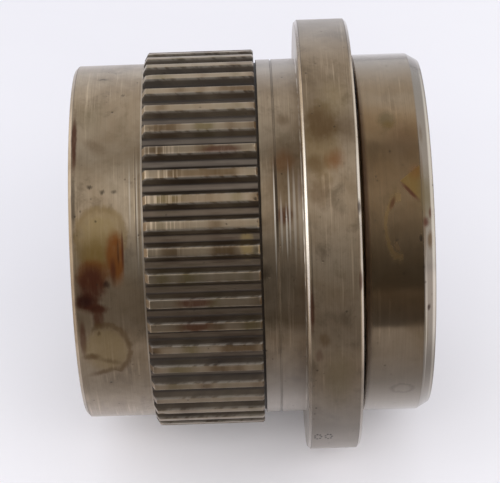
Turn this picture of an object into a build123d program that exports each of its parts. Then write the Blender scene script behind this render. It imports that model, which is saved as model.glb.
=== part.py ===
from build123d import *

import os
from math import acos, cos, degrees, pi, radians, sin, tan

# A compact planetary gear set, in millimetres. The gear axis is X, the input side is at -X, and the
# origin is on the axis at mid-length. Stations are distances along the axis from the sleeve's open
# left end face, and every turned piece is drawn as its half section of (station, radius) corners.

# Ring gear sleeve, outside
total_length = 90.0
hub_end = 18.4
spline_end = 46.8
neck_end = 57.8
flange_end = 71.4
hub_radius = 46.85
hub_chamfer = 0.9
neck_radius = 47.05
neck_groove = 51.0
neck_groove_width = 0.5
neck_groove_depth = 0.3
flange_radius = 57.25
flange_chamfer = 0.75

# External spline W100 x 2 x 30 x 48, with bevelled tooth ends
spline_teeth = 48
spline_module = 2.0
spline_shift = 0.9
spline_tip_radius = 49.8
spline_root_radius = 47.8
spline_entry_face = 0.4
spline_entry_bevel = 0.9
spline_exit_bevel = 0.45
spline_relief_width = 0.6
spline_relief_depth = 0.8
spline_angle = 30.0

# Planetary gearing
gear_module = 1.5
gear_angle = 20.0
sun_teeth = 20
planet_teeth = 16
ring_teeth = 52
planet_count = 4
tooth_thinning = 0.08
ring_tip_relief = 0.45
tooth_bevel = 0.4
centre_distance = (sun_teeth + planet_teeth) * gear_module / 2
ring_gear_start = 20.0
ring_gear_end = 46.0
planet_start = 20.5
planet_width = 25.0
planet_end = planet_start + planet_width

# Sleeve, inside
bore_radius = 41.1
mouth_chamfer = 1.0

# Thin ball bearing 65 x 85 x 10
bearing_start = 50.9
bearing_end = 60.9
bearing_bore_radius = 32.5
bearing_outside_radius = 42.5
inner_ring_outside = 35.6
outer_ring_inside = 39.4
ball_circle = 37.5
ball_radius = 2.975
ball_count = 24
race_clearance = 0.02
ring_corner = 0.6
cage_width = 8.6
cage_wall = 2.4
pocket_clearance = 0.12

# Internal retaining ring for an 85 mm bore
circlip_width = 3.0
circlip_groove_width = 3.15
circlip_groove_radius = 44.25
circlip_outer_radius = 44.2
circlip_inner_radius = 39.9
circlip_eccentricity = 1.2
circlip_lug_radius = 3.2
circlip_lug_circle = 40.3
circlip_lug_angle = 8.0
circlip_hole_radius = 1.5

# Shaft seal 70 x 85 x 7
seal_start = 64.4
seal_end = 71.3
seal_lip_radius = 35.06
garter_station = 66.8
garter_circle = 37.9
garter_radius = 0.72

# Planet carrier
carrier_radius = 36.4
front_plate_start = 11.3
front_plate_end = 19.3
rear_plate_start = 46.7
shoulder_start = 49.6
shoulder_radius = 34.8
carrier_end = 60.6
pocket_radius = 14.4
sun_chamber_radius = 18.5
core_radius = 11.0
plug_radius = 12.5
plug_seat = 50.4
plug_wall = 1.2
plug_depth = 4.0
pilot_start = 56.2
pilot_radius = 20.0
front_bore_radius = 13.0

# Planet pins and their needle rollers
pin_radius = 4.5
pin_start = 11.8
pin_end = 56.7
pin_chamfer = 0.5
oil_hole_radius = 1.5
lock_pin_radius = 1.25
lock_pin_station = 15.3
lock_pin_length = 13.5
lock_pin_inner_end = 22.6
needle_radius = 0.98
needle_count = 16
needle_length = 22.0
planet_bore_radius = 6.5
washer_thickness = 1.1
washer_radius = 9.4

# Sun gear with internal spline N20 x 1.25 x 30 x 14
sun_boss_radius = 12.0
sun_boss_start = 9.5
sun_washer_radius = 16.0
input_teeth = 14
input_module = 1.25
input_shift = 0.5625
input_root_radius = 10.0
input_tip_radius = 8.75

# Output hub with journal and internal spline N35 x 2 x 30 x 16
journal_start = 72.6
journal_radius = 47.5
lead_in_length = 3.0
lead_in_drop = 1.74
journal_edge = 0.3
spigot_radius = 35.0
recess_depth = 3.0
recess_radius = 34.0
output_teeth = 16
output_module = 2.0
output_shift = 0.4
output_root_radius = 17.5
output_tip_radius = 15.5
end_clearance = 0.4

# Fasteners
screw_radius = 3.0
screw_head_radius = 5.0
screw_head_height = 6.0
screw_socket_depth = 3.0
screw_socket_corner = 2.9
counterbore_radius = 5.4
front_screw_count = 4
front_screw_circle = 29.5
front_screw_length = 25.0
front_counterbore = 5.0
front_dowel_circle = 21.5
front_dowel_radius = 2.0
front_dowel_start = 14.3
front_dowel_length = 10.0
hub_screw_count = 8
hub_screw_circle = 26.0
hub_screw_length = 30.0
hub_screw_seat = 81.0
hub_dowel_circle = 26.0
hub_dowel_radius = 3.0
hub_dowel_start = 53.0
hub_dowel_length = 16.0
bridge_angle = 45.0


def at(station):
    """X position of a station along the axis."""
    return station - total_length / 2


def across(station):
    """Plane square to the axis at a station, with its normal along +X."""
    return Plane.YZ.offset(at(station))


def polar(radius, angle):
    """Point at a radius and an angle in degrees, counted from +Y towards +Z."""
    return (radius * cos(radians(angle)), radius * sin(radians(angle)))


def half_section(*corners):
    """Half section of a turned piece, from its (station, radius) corners."""
    with BuildSketch() as section:
        with BuildLine():
            Polyline(*[(at(station), radius) for station, radius in corners], close=True)
        make_face()
    return section.sketch


def bevelled_blank(start, end, radius, bevel):
    """Half section of a disc whose two outer edges are bevelled."""
    return half_section(
        (start, 0), (start, radius - bevel), (start + bevel, radius),
        (end - bevel, radius), (end, radius - bevel), (end, 0),
    )


def involute(angle):
    return tan(angle) - angle


def toothed_outline(teeth, module, pressure_angle, thickness, tip_radius, root_radius, first_tooth=0.0):
    """Face with involute teeth on its rim. The thickness is a tooth's arc on the pitch circle, and
    first_tooth is the direction of one tooth's middle in degrees. Each flank is the arc through three
    points of its involute, and runs on as a radial line where the root lies inside the base circle."""
    pitch_radius = teeth * module / 2
    base_radius = pitch_radius * cos(radians(pressure_angle))
    flank_start = max(root_radius, base_radius)
    flank_middle = (flank_start + tip_radius) / 2

    def half_angle(radius):
        slope = acos(base_radius / radius)
        widest = thickness / 2 / pitch_radius + involute(radians(pressure_angle))
        return degrees(widest - involute(slope))

    foot_angle = half_angle(flank_start)
    pitch_angle = 360 / teeth
    with BuildSketch() as outline:
        with BuildLine():
            for tooth in range(teeth):
                middle = first_tooth + tooth * pitch_angle
                for side in (-1, 1):
                    ThreePointArc(
                        polar(flank_start, middle + side * foot_angle),
                        polar(flank_middle, middle + side * half_angle(flank_middle)),
                        polar(tip_radius, middle + side * half_angle(tip_radius)),
                    )
                    if flank_start > root_radius:
                        Line(
                            polar(root_radius, middle + side * foot_angle),
                            polar(flank_start, middle + side * foot_angle),
                        )
                ThreePointArc(
                    polar(tip_radius, middle - half_angle(tip_radius)),
                    polar(tip_radius, middle),
                    polar(tip_radius, middle + half_angle(tip_radius)),
                )
                ThreePointArc(
                    polar(root_radius, middle + foot_angle),
                    polar(root_radius, middle + pitch_angle / 2),
                    polar(root_radius, middle + pitch_angle - foot_angle),
                )
        make_face()
    return outline.sketch


def gear_outline(teeth, first_tooth):
    """Standard external gear, thinned a little for backlash."""
    pitch_radius = teeth * gear_module / 2
    return toothed_outline(
        teeth, gear_module, gear_angle, pi * gear_module / 2 - tooth_thinning,
        pitch_radius + gear_module, pitch_radius - 1.25 * gear_module, first_tooth,
    )


def spline_thickness(module, shift):
    """Tooth thickness on the pitch circle of a 30 degree spline with profile shift."""
    return pi * module / 2 + 2 * shift * tan(radians(spline_angle))


def cap_screws(seat, circle, count, first_angle, length):
    """Socket head cap screws on a circle. The seat plane lies under their heads, facing out."""
    with BuildPart(seat) as screws:
        with PolarLocations(circle, count, start_angle=first_angle):
            Cylinder(screw_head_radius, screw_head_height, align=(Align.CENTER, Align.CENTER, Align.MIN))
            Cylinder(screw_radius, length, align=(Align.CENTER, Align.CENTER, Align.MAX))
        with BuildSketch(seat.offset(screw_head_height)):
            with PolarLocations(circle, count, start_angle=first_angle):
                RegularPolygon(screw_socket_corner, 6)
        extrude(amount=-screw_socket_depth, mode=Mode.SUBTRACT)
    return screws


def drill(depth, radius):
    """Hole from the active plane, along its normal."""
    Cylinder(radius, depth, align=(Align.CENTER, Align.CENTER, Align.MIN), mode=Mode.SUBTRACT)


pieces = {}
planet_angles = [360 / planet_count * number for number in range(planet_count)]

# Ring gear sleeve: spline band first, cut to its bevelled envelope, then the turned body, the bore
# with its bearing seat and circlip groove, and last the internal teeth. The spline's root stands a
# little proud of the hub, and a narrow relief groove parts it from the neck.
with BuildPart() as ring_gear_sleeve:
    with BuildSketch(across(hub_end)):
        add(toothed_outline(
            spline_teeth, spline_module, spline_angle, spline_thickness(spline_module, spline_shift),
            spline_tip_radius, spline_root_radius, first_tooth=90,
        ))
    extrude(amount=spline_end - hub_end)
    with BuildSketch(Plane.XY):
        add(half_section(
            (hub_end, 0), (hub_end, spline_root_radius + spline_entry_face),
            (hub_end + spline_entry_bevel, spline_tip_radius),
            (spline_end - spline_exit_bevel, spline_tip_radius),
            (spline_end, spline_tip_radius - spline_exit_bevel), (spline_end, 0),
        ))
    revolve(axis=Axis.X, mode=Mode.INTERSECT)
    with BuildSketch(Plane.XY):
        add(half_section(
            (0, 0), (0, hub_radius - hub_chamfer), (hub_chamfer, hub_radius),
            (hub_end, hub_radius), (spline_end, neck_radius),
            (spline_end, neck_radius - spline_relief_depth),
            (spline_end + spline_relief_width, neck_radius - spline_relief_depth),
            (spline_end + spline_relief_width, neck_radius), (neck_groove, neck_radius),
            (neck_groove, neck_radius - neck_groove_depth),
            (neck_groove + neck_groove_width, neck_radius - neck_groove_depth),
            (neck_groove + neck_groove_width, neck_radius),
            (neck_end, neck_radius),
            (neck_end, flange_radius - flange_chamfer),
            (neck_end + flange_chamfer, flange_radius),
            (flange_end - flange_chamfer, flange_radius),
            (flange_end, flange_radius - flange_chamfer), (flange_end, 0),
        ))
    revolve(axis=Axis.X)
    ring_tip_radius = (ring_teeth / 2 - 1) * gear_module + ring_tip_relief
    with BuildSketch(Plane.XY):
        add(half_section(
            (0, 0), (0, bore_radius + mouth_chamfer), (mouth_chamfer, bore_radius),
            (ring_gear_start, bore_radius), (ring_gear_start, ring_tip_radius),
            (ring_gear_end, ring_tip_radius), (ring_gear_end, bore_radius),
            (bearing_start, bore_radius), (bearing_start, bearing_outside_radius),
            (bearing_end, bearing_outside_radius), (bearing_end, circlip_groove_radius),
            (bearing_end + circlip_groove_width, circlip_groove_radius),
            (bearing_end + circlip_groove_width, bearing_outside_radius),
            (flange_end - 0.5, bearing_outside_radius), (flange_end, bearing_outside_radius + 0.5),
            (flange_end, 0),
        ))
    revolve(axis=Axis.X, mode=Mode.SUBTRACT)
    with BuildSketch(across(ring_gear_start)):
        add(toothed_outline(
            ring_teeth, gear_module, gear_angle, pi * gear_module / 2 + tooth_thinning,
            (ring_teeth / 2 + 1.25) * gear_module, ring_tip_radius,
            first_tooth=180 / ring_teeth,
        ))
    extrude(amount=ring_gear_end - ring_gear_start, mode=Mode.SUBTRACT)
pieces["ring_gear_sleeve"] = ring_gear_sleeve

# Ball bearing: two grooved rings, the balls, and a ring cage with a round pocket for each ball.
bearing_middle = (bearing_start + bearing_end) / 2
groove_radius = ball_radius + race_clearance
with BuildPart() as bearing_outer_ring:
    with BuildSketch(Plane.XY):
        add(half_section(
            (bearing_start, outer_ring_inside), (bearing_end, outer_ring_inside),
            (bearing_end, bearing_outside_radius - ring_corner),
            (bearing_end - ring_corner, bearing_outside_radius),
            (bearing_start + ring_corner, bearing_outside_radius),
            (bearing_start, bearing_outside_radius - ring_corner),
        ))
        with Locations((at(bearing_middle), ball_circle)):
            Circle(groove_radius, mode=Mode.SUBTRACT)
    revolve(axis=Axis.X)
pieces["bearing_outer_ring"] = bearing_outer_ring

with BuildPart() as bearing_inner_ring:
    with BuildSketch(Plane.XY):
        add(half_section(
            (bearing_start, inner_ring_outside), (bearing_end, inner_ring_outside),
            (bearing_end, bearing_bore_radius + ring_corner),
            (bearing_end - ring_corner, bearing_bore_radius),
            (bearing_start + ring_corner, bearing_bore_radius),
            (bearing_start, bearing_bore_radius + ring_corner),
        ))
        with Locations((at(bearing_middle), ball_circle)):
            Circle(groove_radius, mode=Mode.SUBTRACT)
    revolve(axis=Axis.X)
pieces["bearing_inner_ring"] = bearing_inner_ring

with BuildPart(across(bearing_middle)) as bearing_balls:
    with PolarLocations(ball_circle, ball_count):
        Sphere(ball_radius)
pieces["bearing_balls"] = bearing_balls

with BuildPart(across(bearing_middle)) as bearing_cage:
    Cylinder(ball_circle + cage_wall / 2, cage_width)
    Cylinder(ball_circle - cage_wall / 2, cage_width, mode=Mode.SUBTRACT)
    with PolarLocations(ball_circle, ball_count):
        Cylinder(ball_radius + pocket_clearance, 3 * cage_wall, rotation=(0, 90, 0), mode=Mode.SUBTRACT)
pieces["bearing_cage"] = bearing_cage

# Internal retaining ring, open at the top between its two lugs.
circlip_opening = circlip_lug_circle * sin(radians(circlip_lug_angle)) * 2 - circlip_lug_radius
with BuildPart() as bearing_retaining_ring:
    with BuildSketch(across(bearing_end)):
        Circle(circlip_outer_radius)
        with Locations((0, circlip_eccentricity)):
            Circle(circlip_inner_radius, mode=Mode.SUBTRACT)
        with Locations((0, circlip_lug_circle)):
            Rectangle(circlip_opening, 4 * circlip_lug_radius, mode=Mode.SUBTRACT)
        for side in (-1, 1):
            with Locations(polar(circlip_lug_circle, 90 + side * circlip_lug_angle)):
                Circle(circlip_lug_radius)
                Circle(circlip_hole_radius, mode=Mode.SUBTRACT)
    extrude(amount=circlip_width)
pieces["bearing_retaining_ring"] = bearing_retaining_ring

# Shaft seal in the flange bore. Its lip turns in towards the bearing and rides the output spigot.
with BuildPart() as shaft_seal:
    with BuildSketch(Plane.XY):
        add(half_section(
            (seal_start, bearing_outside_radius), (seal_end, bearing_outside_radius),
            (seal_end, seal_lip_radius + 0.6), (seal_end - 1.7, seal_lip_radius + 0.6),
            (seal_end - 3.9, seal_lip_radius), (seal_start + 1.2, seal_lip_radius + 0.9),
            (seal_start + 1.2, garter_circle), (garter_station + 1.4, garter_circle),
            (seal_end - 1.8, garter_circle + 0.8), (seal_end - 1.8, bearing_outside_radius - 1.8),
            (seal_start, bearing_outside_radius - 1.8),
        ))
        with Locations((at(garter_station), garter_circle)):
            Circle(garter_radius + 0.02, mode=Mode.SUBTRACT)
    revolve(axis=Axis.X)
pieces["shaft_seal"] = shaft_seal

with BuildPart() as seal_garter_spring:
    with BuildSketch(Plane.XY):
        with Locations((at(garter_station), garter_circle)):
            Circle(garter_radius)
    revolve(axis=Axis.X)
pieces["seal_garter_spring"] = seal_garter_spring

front_screw_tip = front_plate_start + front_counterbore + front_screw_length
front_dowel_tip = front_dowel_start + front_dowel_length
hub_screw_tip = hub_screw_seat - hub_screw_length

# Carrier body: turned blank, pockets for the planets that leave four bridges between them, the sun's
# chamber, pin holes in the rear plate, and threads for the front plate and the output hub.
with BuildPart() as carrier_body:
    with BuildSketch(Plane.XY):
        add(half_section(
            (front_plate_end, 0), (front_plate_end, carrier_radius), (shoulder_start, carrier_radius),
            (shoulder_start, shoulder_radius), (bearing_start, shoulder_radius),
            (bearing_start, bearing_bore_radius), (carrier_end, bearing_bore_radius), (carrier_end, 0),
        ))
    revolve(axis=Axis.X)
    with BuildSketch(across(front_plate_end)):
        Circle(sun_chamber_radius)
        with PolarLocations(centre_distance, planet_count):
            Circle(pocket_radius)
    extrude(amount=rear_plate_start - front_plate_end, mode=Mode.SUBTRACT)
    with BuildSketch(Plane.XY):
        add(half_section(
            (rear_plate_start, 0), (rear_plate_start, core_radius), (plug_seat, core_radius),
            (plug_seat, plug_radius), (pilot_start, plug_radius), (pilot_start, pilot_radius),
            (carrier_end, pilot_radius), (carrier_end, 0),
        ))
    revolve(axis=Axis.X, mode=Mode.SUBTRACT)
    with Locations(across(rear_plate_start)):
        with PolarLocations(centre_distance, planet_count):
            drill(pin_end - rear_plate_start, pin_radius)
    with Locations(across(front_plate_end)):
        with PolarLocations(front_screw_circle, front_screw_count, start_angle=bridge_angle):
            drill(front_screw_tip + end_clearance - front_plate_end, screw_radius)
        with PolarLocations(front_dowel_circle, front_screw_count, start_angle=bridge_angle):
            drill(front_dowel_tip + end_clearance - front_plate_end, front_dowel_radius)
    with Locations(across(hub_screw_tip - end_clearance)):
        with PolarLocations(hub_screw_circle, hub_screw_count, start_angle=bridge_angle / 2):
            drill(carrier_end - hub_screw_tip + end_clearance, screw_radius)
    with Locations(across(hub_dowel_start - end_clearance)):
        with PolarLocations(hub_dowel_circle, 2, start_angle=bridge_angle):
            drill(carrier_end - hub_dowel_start + end_clearance, hub_dowel_radius)
pieces["carrier_body"] = carrier_body

with BuildPart() as carrier_front_plate:
    with BuildSketch(Plane.XY):
        add(half_section(
            (front_plate_start, front_bore_radius + 0.6), (front_plate_start, carrier_radius - 0.8),
            (front_plate_start + 0.8, carrier_radius), (front_plate_end, carrier_radius),
            (front_plate_end, front_bore_radius), (front_plate_start + 0.6, front_bore_radius),
        ))
    revolve(axis=Axis.X)
    with Locations(across(front_plate_start)):
        with PolarLocations(centre_distance, planet_count):
            drill(front_plate_end - front_plate_start, pin_radius)
        with PolarLocations(front_screw_circle, front_screw_count, start_angle=bridge_angle):
            drill(front_plate_end - front_plate_start, screw_radius)
            drill(front_counterbore, counterbore_radius)
    with Locations(across(front_dowel_start - end_clearance)):
        with PolarLocations(front_dowel_circle, front_screw_count, start_angle=bridge_angle):
            drill(front_plate_end - front_dowel_start + end_clearance, front_dowel_radius)
    with Locations(across(lock_pin_station)):
        with PolarLocations(lock_pin_inner_end, planet_count):
            Cylinder(
                lock_pin_radius, carrier_radius, rotation=(0, 90, 0),
                align=(Align.CENTER, Align.CENTER, Align.MIN), mode=Mode.SUBTRACT,
            )
pieces["carrier_front_plate"] = carrier_front_plate

# Planet pins, each with an oil hole down its middle, a cross hole to the needles and one for its
# lock pin, then the gear that turns on it with the needle rollers between them.
planet_middle = (planet_start + planet_end) / 2
for number, angle in enumerate(planet_angles, start=1):
    with BuildPart() as planet_pin:
        with Locations(across(pin_start)):
            with PolarLocations(centre_distance, 1, start_angle=angle):
                Cylinder(
                    pin_radius, pin_end - pin_start, align=(Align.CENTER, Align.CENTER, Align.MIN)
                )
        chamfer(planet_pin.edges().filter_by(GeomType.CIRCLE), pin_chamfer)
        with Locations(across(pin_start)):
            with PolarLocations(centre_distance, 1, start_angle=angle):
                drill(planet_middle - pin_start, oil_hole_radius)
        with Locations(across(planet_middle - oil_hole_radius)):
            with PolarLocations(centre_distance, 1, start_angle=angle):
                Cylinder(
                    oil_hole_radius / 2, pin_radius, rotation=(0, 90, 0),
                    align=(Align.CENTER, Align.CENTER, Align.MIN), mode=Mode.SUBTRACT,
                )
        with Locations(across(lock_pin_station)):
            with PolarLocations(lock_pin_inner_end, 1, start_angle=angle):
                Cylinder(
                    lock_pin_radius, lock_pin_length, rotation=(0, 90, 0),
                    align=(Align.CENTER, Align.CENTER, Align.MIN), mode=Mode.SUBTRACT,
                )
    pieces[f"planet_pin_{number}"] = planet_pin

    pin_axis = Axis((0, *polar(centre_distance, angle)), (1, 0, 0))
    section_plane = Plane(
        origin=(0, *polar(centre_distance, angle)), x_dir=(1, 0, 0), z_dir=(0, 0, 1)
    )
    tip_radius = (planet_teeth / 2 + 1) * gear_module
    with BuildPart() as planet_gear:
        with BuildSketch(across(planet_start)):
            with Locations(polar(centre_distance, angle)):
                add(gear_outline(planet_teeth, first_tooth=angle + 180 / planet_teeth))
                Circle(planet_bore_radius, mode=Mode.SUBTRACT)
        extrude(amount=planet_width)
        with BuildSketch(section_plane):
            add(bevelled_blank(planet_start, planet_end, tip_radius, tooth_bevel))
        revolve(axis=pin_axis, mode=Mode.INTERSECT)
    pieces[f"planet_gear_{number}"] = planet_gear

    with BuildPart(across(planet_middle)) as planet_needles:
        with Locations(polar(centre_distance, angle)):
            with PolarLocations((pin_radius + planet_bore_radius) / 2, needle_count):
                Cylinder(needle_radius, needle_length)
    pieces[f"planet_needles_{number}"] = planet_needles

# Thrust washers on both sides of each planet, and on both sides of the sun.
washer_play = planet_start - front_plate_end - washer_thickness
front_washer_face = front_plate_end + washer_play / 2
rear_washer_face = planet_end + washer_play / 2
with BuildPart() as planet_thrust_washers:
    for face in (front_washer_face, rear_washer_face):
        with BuildSketch(across(face)):
            with PolarLocations(centre_distance, planet_count):
                Circle(washer_radius)
                Circle(pin_radius + 0.05, mode=Mode.SUBTRACT)
        extrude(amount=washer_thickness)
pieces["planet_thrust_washers"] = planet_thrust_washers

with BuildPart() as sun_front_washer:
    with BuildSketch(across(front_washer_face)):
        Circle(sun_washer_radius)
        Circle(sun_boss_radius + 0.3, mode=Mode.SUBTRACT)
    extrude(amount=washer_thickness)
pieces["sun_front_washer"] = sun_front_washer

with BuildPart() as sun_rear_washer:
    with BuildSketch(across(rear_washer_face)):
        Circle(sun_washer_radius)
        Circle(core_radius, mode=Mode.SUBTRACT)
    extrude(amount=washer_thickness)
pieces["sun_rear_washer"] = sun_rear_washer

# Sun gear with its boss through the front plate and a splined bore right through it.
with BuildPart() as sun_gear:
    with BuildSketch(across(planet_start)):
        add(gear_outline(sun_teeth, first_tooth=0))
    extrude(amount=planet_width)
    with BuildSketch(Plane.XY):
        add(bevelled_blank(planet_start, planet_end, (sun_teeth / 2 + 1) * gear_module, tooth_bevel))
    revolve(axis=Axis.X, mode=Mode.INTERSECT)
    with BuildSketch(Plane.XY):
        add(bevelled_blank(sun_boss_start, planet_middle, sun_boss_radius, tooth_bevel))
    revolve(axis=Axis.X)
    with BuildSketch(across(sun_boss_start)):
        add(toothed_outline(
            input_teeth, input_module, spline_angle, spline_thickness(input_module, input_shift),
            input_root_radius, input_tip_radius, first_tooth=90,
        ))
    extrude(amount=planet_end - sun_boss_start, mode=Mode.SUBTRACT)
pieces["sun_gear"] = sun_gear

with BuildPart() as core_plug:
    with BuildSketch(Plane.XY):
        add(half_section(
            (plug_seat, 0), (plug_seat, plug_radius), (plug_seat + plug_depth, plug_radius),
            (plug_seat + plug_depth, plug_radius - plug_wall),
            (plug_seat + plug_wall, plug_radius - plug_wall), (plug_seat + plug_wall, 0),
        ))
    revolve(axis=Axis.X)
pieces["core_plug"] = core_plug

# Output hub: pilot, spigot that clamps the inner ring and carries the seal lip, and the journal.
with BuildPart() as output_hub:
    with BuildSketch(Plane.XY):
        add(half_section(
            (pilot_start + end_clearance, 0), (pilot_start + end_clearance, pilot_radius),
            (bearing_end, pilot_radius), (bearing_end, spigot_radius),
            (journal_start, spigot_radius), (journal_start, journal_radius - journal_edge),
            (journal_start + journal_edge, journal_radius),
            (total_length - lead_in_length, journal_radius),
            (total_length, journal_radius - lead_in_drop),
            (total_length, recess_radius + 0.5), (total_length - 0.5, recess_radius),
            (total_length - recess_depth, recess_radius), (total_length - recess_depth, 0),
        ))
    revolve(axis=Axis.X)
    with BuildSketch(across(pilot_start)):
        add(toothed_outline(
            output_teeth, output_module, spline_angle, spline_thickness(output_module, output_shift),
            output_root_radius, output_tip_radius, first_tooth=90,
        ))
    extrude(amount=total_length - pilot_start, mode=Mode.SUBTRACT)
    with Locations(across(bearing_end)):
        with PolarLocations(hub_screw_circle, hub_screw_count, start_angle=bridge_angle / 2):
            drill(hub_screw_seat - bearing_end, screw_radius)
        with PolarLocations(hub_dowel_circle, 2, start_angle=bridge_angle):
            drill(hub_dowel_start + hub_dowel_length - bearing_end + end_clearance, hub_dowel_radius)
    with Locations(across(hub_screw_seat)):
        with PolarLocations(hub_screw_circle, hub_screw_count, start_angle=bridge_angle / 2):
            drill(total_length - hub_screw_seat, counterbore_radius)
pieces["output_hub"] = output_hub

# Screws, dowels and lock pins, each kind a group of separate solids.
front_seat = Plane(
    origin=(at(front_plate_start + front_counterbore), 0, 0), x_dir=(0, 1, 0), z_dir=(-1, 0, 0)
)
pieces["front_plate_screws"] = cap_screws(
    front_seat, front_screw_circle, front_screw_count, bridge_angle, front_screw_length
)
pieces["output_hub_screws"] = cap_screws(
    across(hub_screw_seat), hub_screw_circle, hub_screw_count, bridge_angle / 2, hub_screw_length
)

with BuildPart(across(front_dowel_start)) as front_plate_dowels:
    with PolarLocations(front_dowel_circle, front_screw_count, start_angle=bridge_angle):
        Cylinder(
            front_dowel_radius, front_dowel_length, align=(Align.CENTER, Align.CENTER, Align.MIN)
        )
pieces["front_plate_dowels"] = front_plate_dowels

with BuildPart(across(hub_dowel_start)) as output_hub_dowels:
    with PolarLocations(hub_dowel_circle, 2, start_angle=bridge_angle):
        Cylinder(hub_dowel_radius, hub_dowel_length, align=(Align.CENTER, Align.CENTER, Align.MIN))
pieces["output_hub_dowels"] = output_hub_dowels

with BuildPart(across(lock_pin_station)) as pin_lock_pins:
    with PolarLocations(lock_pin_inner_end, planet_count):
        Cylinder(
            lock_pin_radius, lock_pin_length, rotation=(0, 90, 0),
            align=(Align.CENTER, Align.CENTER, Align.MIN),
        )
        Cylinder(
            lock_pin_radius / 2, lock_pin_length, rotation=(0, 90, 0),
            align=(Align.CENTER, Align.CENTER, Align.MIN), mode=Mode.SUBTRACT,
        )
        Box(
            lock_pin_length, lock_pin_radius / 2, lock_pin_radius,
            align=(Align.MIN, Align.CENTER, Align.MIN), mode=Mode.SUBTRACT,
        )
pieces["pin_lock_pins"] = pin_lock_pins

os.makedirs("parts", exist_ok=True)
for name, piece in pieces.items():
    piece.part.label = name
    export_step(piece.part, f"parts/{name}.step")
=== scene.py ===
import math
import random

import bpy
import numpy as np
from mathutils import Matrix, Vector


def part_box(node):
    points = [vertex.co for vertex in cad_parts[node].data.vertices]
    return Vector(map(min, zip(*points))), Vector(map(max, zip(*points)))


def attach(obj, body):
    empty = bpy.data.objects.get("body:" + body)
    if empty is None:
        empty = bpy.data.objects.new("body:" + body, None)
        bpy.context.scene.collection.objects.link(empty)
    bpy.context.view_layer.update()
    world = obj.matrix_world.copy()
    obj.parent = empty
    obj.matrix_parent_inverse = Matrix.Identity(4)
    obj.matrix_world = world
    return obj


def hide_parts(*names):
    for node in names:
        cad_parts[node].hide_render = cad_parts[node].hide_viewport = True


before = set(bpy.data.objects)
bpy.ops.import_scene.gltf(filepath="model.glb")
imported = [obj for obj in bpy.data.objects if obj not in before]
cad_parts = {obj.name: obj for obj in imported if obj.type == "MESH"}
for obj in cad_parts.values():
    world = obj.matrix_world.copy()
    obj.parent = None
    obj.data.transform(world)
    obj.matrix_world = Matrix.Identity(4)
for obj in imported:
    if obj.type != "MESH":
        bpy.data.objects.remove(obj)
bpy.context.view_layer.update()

floor_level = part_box("ring_gear_sleeve")[0][2]
rng = random.Random(48)

# The unit lies on its side with the gear axis along X. Stations are millimetres from the sleeve's open
# left end along the axis, and the facing line is the line on its skin that is nearest to the viewer.
LENGTH = 90.0
HUB_END, TOOTH_START, TOOTH_END, SPLINE_END = 18.4, 19.3, 46.35, 46.8
NECK_END, FLANGE_END, JOURNAL_END = 57.8, 71.4, 86.9
HUB_RADIUS, NECK_RADIUS, FLANGE_RADIUS = 46.85, 47.05, 57.23
TIP, ROOT = 49.8, 47.8
SPLINE_TEETH = 48
TOOTH_PITCH = 360 / SPLINE_TEETH
VIEW_ELEVATION = math.radians(34)
VIEW_ROLL = math.radians(1.92)
VIEW_DISTANCE = 0.5393
VIEW_LENS = 144.72
VIEW_CENTRE = Vector((-0.0011, 0, 0))
VIEW_ASIDE, VIEW_UP = 0.00056, -0.00145
FACING = Vector((0, -math.cos(VIEW_ELEVATION), math.sin(VIEW_ELEVATION)))
UPWARD = Vector((0, math.sin(VIEW_ELEVATION), math.cos(VIEW_ELEVATION)))


# ---------------------------------------------------------------- node graphs

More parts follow.
